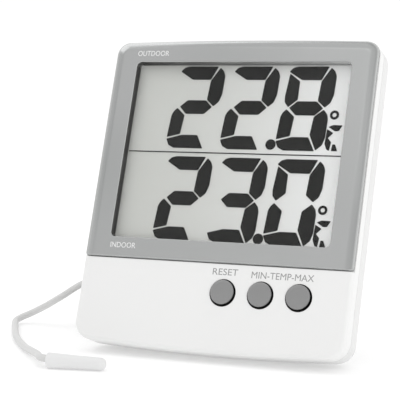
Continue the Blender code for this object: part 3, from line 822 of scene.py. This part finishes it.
def button(name, x, looks):
    """A push button: a shallow dish, a broad soft bevel, and a skirt and flange that keep it in, coloured
    black as painted shade in the gap round the cap.
    """
    profile = (
        (-0.1, 0.4), (-0.11, 1.6), (-0.15, 2.6), (-0.19, 3.0), (-0.2, 3.15), (-0.17, 3.35),
        (-0.08, 3.62), (0.04, 3.88), (0.18, CAP_RADIUS - 0.07), (0.34, CAP_RADIUS),
        (0.6, CAP_RADIUS), (3.3, CAP_RADIUS), (3.3, 5.4), (4.1, 5.4), (4.1, 2.2), (4.4, 2.2),
    )
    place = (x - CAP_SLACK, 0, BUTTON_HEIGHT + CAP_SLACK)
    cap = new_piece(f"{name}_cap", turned(profile, sides=64), place=place)
    dress(cap, f"{name}_button", "grey_plastic", looks, f"{name}_button")
    # Painted shade: everything behind the cap's front (side, skirt and flange) gets the black material.
    for face in cap.data.polygons:
        if face.center.y > 0.6 * MM:
            face.material_index = 1


def back_shell(looks):
    bends = smooth_points([(depth, inset, 0) for depth, inset in BACK_PROFILE], 3)
    profile = [(SEAM + GAP / 2, 0.2), (SEAM + GAP / 2 + 0.2, 0)]
    profile += [(point.x, point.y + 0.05) for point in bends]
    shell = new_piece("back_shell_moulding", case_loft(profile))
    bay = BATTERY_HEIGHT
    wide = DOOR_HALF_WIDTH + GAP
    tall = DOOR_HALF_HEIGHT + GAP
    width = STAND_HALF_WIDTH + 2 * GAP
    floor = HINGE_DEPTH - STAND_HALF_THICK - 0.4
    axis = (0, HINGE_DEPTH, HINGE_HEIGHT)
    barrel = BARREL_RADIUS + 0.4
    pin = PIN_RADIUS + GAP
    reach = SWITCH_TRAVEL / 2 + 1.5 + GAP
    hollow = [(SEAM - 2, WALL), (11.0, WALL), (14.0, WALL + 0.6), (BACK_INNER, WALL + 2.4)]
    steps = [
        ("cut", case_loft(hollow)),
        ("join", box((-21.5, 14.8, -27.8), (21.5, 17.5, 26.0))),
        ("join", box((-28, 6.3, bay - 7.6), (28, 17.5, bay + 7.6))),
    ]
    for side in (-1, 1):
        place = (side * CASE_SCREW_X, 0, CASE_SCREW_Z)
        steps.append(("join", turned(((9.2, 3.5), (17.5, 3.5)), sides=32), place))
        steps.append(("cut", turned(((8, 1.3), (14, 1.3)), sides=32), place))
        well = ((13, 2.5), (19.6, 2.5), (19.8, 2.58), (CASE_DEPTH, 2.8), (BEHIND, 2.8))
        steps.append(("cut", turned(well, sides=32), place))
    steps += [
        ("cut", box((-width, floor, -40), (width, BEHIND, HINGE_HEIGHT))),
        ("cut", turned(((-width - 0.01, barrel), (width + 0.01, barrel)), axis="X"), axis),
        (
            "cut",
            box(
                (-width - 0.02, HINGE_DEPTH, HINGE_HEIGHT - 1),
                (width + 0.02, BEHIND, HINGE_HEIGHT + barrel),
            ),
        ),
        ("cut", turned(((-PIN_END - GAP, pin), (PIN_END + GAP, pin)), axis="X", sides=24), axis),
        (
            "cut",
            box(
                (-BAY_HALF_LENGTH, BAY_FLOOR, bay - BAY_HALF_HEIGHT),
                (BAY_HALF_LENGTH, BEHIND, bay + BAY_HALF_HEIGHT),
            ),
        ),
        ("cut", slab(wide, bay - tall, bay + tall, 1.0, ((DOOR_FRONT - GAP, 0), (BEHIND, 0)))),
        ("cut", turned(((15, HANG_RADIUS), (BEHIND, HANG_RADIUS))), (0, 0, HANG_HEIGHT)),
        (
            "cut",
            slab(HANG_SLOT, 0, HANG_SLOT_TOP - HANG_HEIGHT, 2.0, ((15.1, 0), (BEHIND, 0))),
            (0, 0, HANG_HEIGHT),
        ),
        ("cut", turned(((15, 2.5), (BEHIND, 2.5)), sides=32), (RELIEF_X, 0, RELIEF_Z)),
        ("cut", slab(reach, -1.5, 1.5, 0.4, ((15, 0), (BEHIND, 0))), (SWITCH_X, 0, SWITCH_Z)),
    ]
    for row in range(3):
        low = -13.0 + 3.0 * row
        steps.append(("cut", slab(5.0, low, low + 1.4, 0.65, ((15, 0), (BEHIND, 0))), (34.0, 0, 0)))
    carve(shell, steps)
    dress(shell, "case", "white_plastic", looks, "back_shell")


def bevelled_rod(half, radius):
    """The profile of a round rod with bevelled ends."""
    bevel = 0.3
    narrow = radius - bevel
    return ((-half, narrow), (-half + bevel, radius), (half - bevel, radius), (half, narrow))


def stand(looks):
    """The leg, in the frame of its hinge, with the leg hanging down that frame's Z."""
    joint = JOINTS["stand_fold"]
    openness = joint["range_deg"][1]
    hinge = CASE @ moved((0, HINGE_DEPTH, HINGE_HEIGHT)) @ Matrix.Rotation(math.radians(openness), 4, "X")
    up_in_hinge = hinge.to_3x3().inverted() @ Vector((0, 0, 1))
    height = joint["pos_m"][2] / MM
    rings = []
    for depth, inset in soft_edges(-STAND_HALF_THICK, STAND_HALF_THICK, 0.35):
        floor = -(height + depth * up_in_hinge.y) / up_in_hinge.z
        points = outline(STAND_HALF_WIDTH - inset, floor, 0, 0, 0, 2.5, 0.5)
        rings.append([(x, depth, z) for x, z in points])
    leg = new_piece("stand_leg", loft(rings), hinge)
    length = height / up_in_hinge.z
    barrel = bevelled_rod(STAND_HALF_WIDTH, BARREL_RADIUS)
    pins = bevelled_rod(PIN_END, PIN_RADIUS)
    front = STAND_HALF_THICK - 0.45
    steps = [
        ("join", turned(barrel, axis="X")),
        ("join", turned(pins, axis="X", sides=32)),
        ("cut", slab(13.5, 9 - length, -5.5, 1.5, ((front, 0.3), (3, -0.3)))),
    ]
    for row in range(3):
        low = 2.6 - length + 1.7 * row
        groove = slab(8.0, low, low + 0.8, 0.35, ((STAND_HALF_THICK - 0.3, 0), (3, 0)))
        steps.append(("cut", groove))
    carve(leg, steps)
    dress(leg, "stand", "white_plastic", looks, "stand")


def battery_door(looks):
    """The door: a plate with soft edges, finger grooves and an arrow that points the way it opens."""
    edges = soft_edges(DOOR_FRONT, CASE_DEPTH, 0.2)
    low = BATTERY_HEIGHT - DOOR_HALF_HEIGHT
    high = BATTERY_HEIGHT + DOOR_HALF_HEIGHT
    door = new_piece("battery_door_plate", slab(DOOR_HALF_WIDTH, low, high, 0.9, edges))
    steps = []
    for row in range(4):
        height = low + 12.0 + 1.6 * row
        groove = slab(7.0, height, height + 0.8, 0.35, ((CASE_DEPTH - 0.4, 0), (BEHIND, 0)))
        steps.append(("cut", groove))
    corners = ((-2.2, low + 8.5), (2.2, low + 8.5), (0, low + 5.5))
    arrow = loft([[(x, depth, z) for x, z in corners] for depth in (CASE_DEPTH - 0.3, BEHIND)])
    steps.append(("cut", arrow))
    carve(door, steps)
    dress(door, "battery_door", "white_plastic", looks, "battery_door")


def battery_cell(jacket, band, steel):
    end = BATTERY_END
    radius = BATTERY_RADIUS
    profile = (
        (BATTERY_LEFT, 3.6), (BATTERY_LEFT + 0.1, 4.5), (BATTERY_LEFT + 0.15, radius - 0.25),
        (BATTERY_LEFT + 0.4, radius), (BATTERY_LEFT + 2.0, radius), (end - 11.0, radius),
        (end - 1.4, radius), (end - 1.05, radius - 0.25), (end - 1.0, radius - 0.7),
        (end - 1.1, 3.6), (end - 1.0, 2.2), (end - 0.9, 1.9), (end - 0.15, 1.85), (end, 1.6),
    )
    place = (0, BATTERY_DEPTH, BATTERY_HEIGHT)
    cell = new_piece("battery_cell_can", turned(profile, axis="X", sides=64), place=place)
    dress(cell, "case", "cell_jacket", [jacket, band, steel], "battery_cell")
    for face in cell.data.polygons:
        x = face.center.x / MM
        outside = math.hypot(face.center.y, face.center.z) / MM > radius - 0.2
        if not outside:
            face.material_index = 2
        elif x > end - 11.0:
            face.material_index = 1


def battery_spring(look):
    """A conical spring, wide at its plate and narrow at the cell."""
    wire = 0.35
    start = -BAY_HALF_LENGTH + 2 * GAP + 0.5 + wire
    end = BATTERY_LEFT - GAP - wire
    turns = 3
    steps = 32 * turns
    points = []
    for index in range(steps + 1):
        share = index / steps
        angle = math.tau * turns * share
        radius = 3.6 - 1.2 * share
        points.append((start + (end - start) * share, radius * math.cos(angle), radius * math.sin(angle)))
    place = CASE @ moved((0, BATTERY_DEPTH, BATTERY_HEIGHT))
    spring = tube("battery_spring_wire", points, wire, place)
    dress(spring, "case", "nickel_steel", [look], "battery_spring")


def case_screws(look):
    for side, word in ((-1, "left"), (1, "right")):
        profile = (
            (5.0, 0.5), (5.8, 1.0), (13.3, 1.0), (13.3, 2.05), (13.6, 2.1), (14.3, 2.05),
            (14.7, 1.8), (14.92, 1.3), (15.0, 0.6),
        )
        place = (side * CASE_SCREW_X, 0, CASE_SCREW_Z)
        screw = new_piece(f"case_screw_{word}_metal", turned(profile, sides=40), place=place)
        arms = []
        for half, reach in ((0.35, 1.3), (1.3, 0.35)):
            arms.append(("cut", box((-half, 14.2, -reach), (half, 16, reach))))
        carve(screw, arms)
        dress(screw, "case", "nickel_steel", [look], f"case_screw_{word}")


def switch_knob(looks):
    """The scale switch's knob, ribbed across for a fingertip."""
    start = SWITCH_X - SWITCH_TRAVEL / 2
    place = (start, 0, SWITCH_Z)
    top = slab(1.5, -1.2, 1.2, 0.3, soft_edges(14.8, 19.4, 0.15))
    knob = new_piece("unit_switch_slider", top, place=place)
    steps = [("join", box((-1.0, 12.6, -0.8), (1.0, 15.2, 0.8)))]
    for x in (-0.8, 0.0, 0.8):
        steps.append(("cut", box((x - 0.15, 19.1, -2), (x + 0.15, 20, 2))))
    carve(knob, steps)
    dress(knob, "unit_switch", "black_plastic", looks, "unit_switch_knob")


def strain_relief(look):
    """The soft boot: a grommet in the back plate and a ribbed tail that narrows to the cord."""
    inner = BACK_INNER - GAP
    outer = CASE_DEPTH + GAP
    profile = [(15.4, 3.2), (15.6, 3.4), (inner, 3.4), (inner, 2.2), (outer, 2.2), (outer, 3.1)]
    profile += [(outer + 0.2, 3.3), (outer + 1.0, 3.3), (outer + 1.3, 3.1)]
    along = outer + 1.6
    radius = 2.9
    while along + 1.3 < RELIEF_END:
        profile += [(along, radius), (along + 0.75, radius - 0.1)]
        profile += [(along + 0.9, radius - 0.4), (along + 1.2, radius - 0.42)]
        along += 1.35
        radius -= 0.12
    profile += [(along, radius - 0.05), (RELIEF_END - 0.2, 2.15), (RELIEF_END, 1.95)]
    relief = new_piece("strain_relief_boot", turned(profile), place=(RELIEF_X, 0, RELIEF_Z))
    bore = CORD_RADIUS + 0.1
    carve(relief, [("cut", turned(((14, bore), (30, bore)), sides=32))])
    return dress(relief, "case", "cord_jacket", [look], "strain_relief")


def tube(name, points, radius, matrix=None):
    """A round tube along points in millimetres, as a curve."""
    curve = bpy.data.curves.new(name, "CURVE")
    curve.dimensions = "3D"
    curve.bevel_depth = radius * MM
    curve.bevel_resolution = 4
    curve.use_fill_caps = True
    spline = curve.splines.new("POLY")
    spline.points.add(len(points) - 1)
    for spot, point in zip(spline.points, points):
        spot.co = (*(Vector(point) * MM), 1.0)
    thing = add_object(name, curve)
    if matrix:
        thing.matrix_world = matrix
    return thing


def ease(share):
    """A share that starts and ends gently."""
    share = min(max(share, 0.0), 1.0)
    return share * share * (3 - 2 * share)


def coil_points():
    """The wound turns, side by side in rows and the rows on each other, from the floor up.

    In the last third of a turn the cord first steps up where a row is full, and then steps
    across to the next column.
    """
    pitch = 2 * CORD_RADIUS
    inner = COIL_MIDDLE - (COIL_COLUMNS - 1) * CORD_RADIUS
    per_turn = 36
    start = 5.0
    places = []
    for row in range(COIL_ROWS):
        columns = range(COIL_COLUMNS) if row % 2 else reversed(range(COIL_COLUMNS))
        places += [(inner + pitch * column, CORD_RADIUS + COIL_LIFT + pitch * row) for column in columns]
    last = len(places) * per_turn
    points = []
    for index in range(last):
        turn, step = divmod(index, per_turn)
        radius, height = places[turn]
        following = places[min(turn + 1, len(places) - 1)]
        angle = 360 * step / per_turn
        height += (following[1] - height) * ease((angle - 240) / 60)
        radius += (following[0] - radius) * ease((angle - 300) / 60)
        points.append(coil_spot(start + angle, radius, height))
    top = RUN_POINTS[0][2]
    radius, height = places[-1]
    end_radius = math.hypot(RUN_POINTS[0][0] - COIL_CENTRE[0], RUN_POINTS[0][1] - COIL_CENTRE[1])
    for step in range(9):
        share = ease(step / 8)
        rise = (top - height) * share
        points.append(coil_spot(start + 10 * step, radius + (end_radius - radius) * share, height + rise))
    return points


def coil_spot(angle, radius, height):
    turn = math.radians(angle)
    x, y = COIL_CENTRE
    return Vector((x + radius * math.cos(turn), y + radius * math.sin(turn), height))


def cord_route():
    coil = coil_points()
    lead_in = [coil_spot(-28, 23.9, 1.45), coil_spot(-14, 22.9, 1.6)]
    lead = smooth_points([*LEAD_POINTS, *lead_in, coil[0], coil[1]], 4)[:-4]
    run = smooth_points([coil[-2], coil[-1], *RUN_POINTS], 4)[4:]
    return [*lead, *coil[1:-1], *run]


def coil_tie(look):
    """The soft band round the wound turns."""
    half = COIL_COLUMNS * CORD_RADIUS
    height = 2 * COIL_ROWS * CORD_RADIUS
    thick = 0.35
    low = 0.03
    high = height + COIL_LIFT + thick
    rings = []
    for edge, soft in ((-2.0, 0.1), (-1.8, 0.0), (1.8, 0.0), (2.0, 0.1)):
        rings.append((edge, band_loop(half + thick - soft, low + soft, high - soft, 1.1)))
    for edge in (1.8, -1.8):
        rings.append((edge, band_loop(half + 0.02, low + thick - 0.02, high - thick, 0.8)))
    shape = bmesh.new()
    skin(shape, [[(out, edge, up) for out, up in points] for edge, points in rings], closed=True)
    angle = -100
    matrix = moved(coil_spot(angle, COIL_MIDDLE, 0)) @ Matrix.Rotation(math.radians(angle), 4, "Z")
    tie = new_piece("cord_tie", shape, matrix)
    return dress(tie, "case", "black_rubber", [look])


def band_loop(half, low, high, radius):
    """A round-cornered loop, as (across, height) points."""
    points = []
    for x, z, start in (
        (half - radius, low + radius, -90), (half - radius, high - radius, 0),
        (-half + radius, high - radius, 90), (-half + radius, low + radius, 180),
    ):
        points += arc((x, z), radius, start, start + 90, 8)
    return points


def probe(look):
    """The outdoor sensor: a blunt bullet with a soft rear edge and a bore for the cord."""
    lay = moved(PROBE_START) @ Matrix.Rotation(math.radians(PROBE_TURN), 4, "Z")
    lay = lay @ Matrix.Rotation(math.radians(PROBE_TILT), 4, "Y")
    end = PROBE_LENGTH
    profile = [
        (0.0, PROBE_RADIUS - 0.4), (0.06, PROBE_RADIUS - 0.22), (0.22, PROBE_RADIUS - 0.07),
        (0.5, PROBE_RADIUS), (2.0, PROBE_RADIUS - 0.03), (4.0, 2.5), (6.0, 2.42), (8.0, 2.35),
        (10.5, 2.28), (13.0, 2.22), (15.5, 2.17),
    ]
    nose = 2.0
    for step in range(10):
        angle = math.radians(90 * step / 10)
        profile.append((end - nose + nose * math.sin(angle), 2.12 * math.cos(angle) ** 0.8))
    profile.append((end, 0.15))
    shell = new_piece("probe_sensor", turned(profile, axis="X"), lay)
    bore = CORD_RADIUS + 0.08
    channel = turned(((-1, bore), (9.0, bore)), axis="X", sides=32)
    carve(shell, [("cut", channel, (0, 0, PROBE_BORE_RISE))])
    return dress(shell, "case", "probe_plastic", [look], "probe_shell", sharp=50)


def cord(look):
    points = cord_route()
    piece = tube("probe_cord", points, CORD_RADIUS)
    dress(piece, "case", "cord_jacket", [look], "cord_lead", "cord_coil", "cord_run")


def paint_nodes(look, *names):
    """Gives CAD nodes that stay in sight their finished material."""
    for name in names:
        mesh = frame["nodes"][name].data
        mesh.materials.clear()
        mesh.materials.append(look)


def build_object():
    white = moulded("shell_white", (0.82, 0.82, 0.815), 0.38, grain=2600.0, relief=0.12, drift=0.008)
    back_white = moulded("back_white", (0.75, 0.75, 0.745), 0.46, grain=1500.0, relief=0.35, drift=0.012)
    silver = silver_paint()
    # Painted shade for the side of the window opening and for the pane's edges.
    painted_shade_wall = window_wall_painted_shade()
    grey = moulded("button_grey", (0.25, 0.25, 0.25), 0.42, grain=2200.0, relief=0.2)
    black = moulded("black_plastic", (0.015, 0.015, 0.015), 0.45)
    rubber = moulded("cord_white", (0.64, 0.64, 0.635), 0.42, grain=1200.0, relief=0.25, drift=0.02)
    soft = moulded("probe_white", (0.76, 0.76, 0.76), 0.36, grain=2000.0, relief=0.15, drift=0.015)
    ink_black = moulded("display_ink", (0.018, 0.018, 0.017), 0.5, relief=0.02, shine=0.0)
    print_white = moulded("print_white", (0.80, 0.80, 0.80), 0.5)
    print_grey = moulded("print_grey", (0.30, 0.30, 0.30), 0.5)
    steel = metal("nickel_plate", (0.66, 0.65, 0.62), 0.28)
    foil = metal("reflector_foil", (0.80, 0.80, 0.79), 0.35)
    resin = moulded("chip_resin", (0.012, 0.012, 0.014), 0.25, grain=300.0, relief=0.3, coat=0.4)
    bead = moulded("sensor_resin", (0.05, 0.05, 0.08), 0.3, grain=500.0, coat=0.3)
    jacket = moulded("cell_jacket", (0.05, 0.09, 0.20), 0.3, coat=0.5)
    band = moulded("cell_band", (0.55, 0.42, 0.16), 0.3, coat=0.5)
    carbon = moulded("zebra_rubber", (0.03, 0.03, 0.03), 0.7)

    front_shell([white, black])
    lens_bezel(silver, painted_shade_wall)
    window_pane([clear_plastic(), painted_shade_wall])
    display_symbols(ink_black)
    labels(print_white, print_grey)
    for index, name in enumerate(BUTTON_NAMES):
        button(name, FIRST_BUTTON + BUTTON_PITCH * index, [grey, black])
        paint_nodes(soft, f"{name}_switch_plunger")
        paint_nodes(black, f"{name}_switch_body")
    back_shell([back_white])
    stand([back_white])
    battery_door([back_white])
    battery_cell(jacket, band, steel)
    battery_spring(steel)
    case_screws(steel)
    switch_knob([black])
    relief = strain_relief(rubber)
    sensor = probe(soft)
    tie = coil_tie(black)
    cord(rubber)

    # The display glass gets the polariser with its painted shade and painted light.
    paint_nodes(display_film_painted_shade(), "lcd_glass")
    paint_nodes(foil, "lcd_reflector")
    paint_nodes(white, "lcd_holder")
    paint_nodes(carbon, "zebra_strip")
    paint_nodes(board_mask(), "circuit_board")
    paint_nodes(resin, "controller_chip")
    paint_nodes(bead, "indoor_thermistor", "probe_thermistor")
    paint_nodes(black, "unit_switch_body")
    screws = [f"board_screw_{level}_{side}" for level in ("lower", "upper") for side in ("left", "right")]
    paint_nodes(steel, "quartz_crystal", "positive_contact", "negative_contact", *screws)


# Studio


def place_camera():
    data = bpy.data.cameras.new("camera")
    data.lens = CAMERA_LENS
    data.sensor_width = 36.0
    data.clip_start = 0.01
    camera = add_object("camera", data)
    camera.location = CAMERA_PLACE
    camera.rotation_euler = (math.radians(90 + CAMERA_TILT), 0, math.radians(CAMERA_TURN))
    bpy.context.scene.camera = camera


def add_lamp(name, place, size, power):
    """A soft square lamp that faces the object."""
    data = bpy.data.lights.new(name, "AREA")
    data.size = size
    data.energy = power
    lamp = add_object(name, data)
    lamp.location = place
    lamp.rotation_euler = (Vector(place) - LAMP_TARGET).to_track_quat("Z", "Y").to_euler()


def soft_tent():
    """A white tent of light with a grey ring round a bright spot, and faint streaks about them."""
    world = bpy.data.worlds.new("studio")
    world.use_nodes = True
    tree = world.node_tree
    sky = tree.nodes["Background"]
    sky.inputs["Color"].default_value = (1.0, 1.0, 1.0, 1.0)
    direction = tree.nodes.new("ShaderNodeTexCoord").outputs["Generated"]
    nearness = tree.nodes.new("ShaderNodeVectorMath")
    nearness.operation = "DOT_PRODUCT"
    nearness.inputs[1].default_value = SPOT_DIRECTION
    tree.links.new(direction, nearness.inputs[0])
    ramp = tree.nodes.new("ShaderNodeValToRGB")
    ramp.color_ramp.interpolation = "EASE"
    tones = ramp.color_ramp.elements
    tones[0].position = 0.0
    tones[1].position = 1.0
    while len(tones) < len(SPOT_TONES):
        tones.new(0.5)
    for tone, (angle, value) in zip(tones, sorted(SPOT_TONES, reverse=True)):
        tone.position = math.cos(math.radians(angle))
        tone.color = (value, value, value, 1.0)
    tree.links.new(nearness.outputs["Value"], ramp.inputs["Fac"])
    slant = tree.nodes.new("ShaderNodeMapping")
    put(slant, {"Rotation": STREAK_TURN, "Scale": (1.0, 1.0, 5.0)})
    tree.links.new(direction, slant.inputs["Vector"])
    pattern = noise(tree, slant.outputs["Vector"], 4.0, detail=1.0)
    streaks = spread(tree, pattern, -STREAK_DEPTH, STREAK_DEPTH)
    near = tree.nodes.new("ShaderNodeMapRange")
    put(near, {"From Min": 0.75, "From Max": 0.9})
    tree.links.new(nearness.outputs["Value"], near.inputs["Value"])
    tone = tree.nodes.new("ShaderNodeMath")
    tone.operation = "MULTIPLY_ADD"
    tree.links.new(streaks, tone.inputs[0])
    tree.links.new(near.outputs["Result"], tone.inputs[1])
    tree.links.new(ramp.outputs["Color"], tone.inputs[2])
    tree.links.new(tone.outputs["Value"], sky.inputs["Strength"])
    return world


def studio():
    shape = bmesh.new()
    bmesh.ops.create_grid(shape, x_segments=8, y_segments=8, size=FLOOR_HALF)
    floor = new_piece("floor", shape, Matrix.Identity(4))
    floor.data.materials.append(backdrop_white())
    bpy.context.scene.world = soft_tent()
    for lamp in LAMPS:
        add_lamp(*lamp)
    bpy.context.scene.view_settings.view_transform = "Standard"


place_camera()
build_object()
studio()
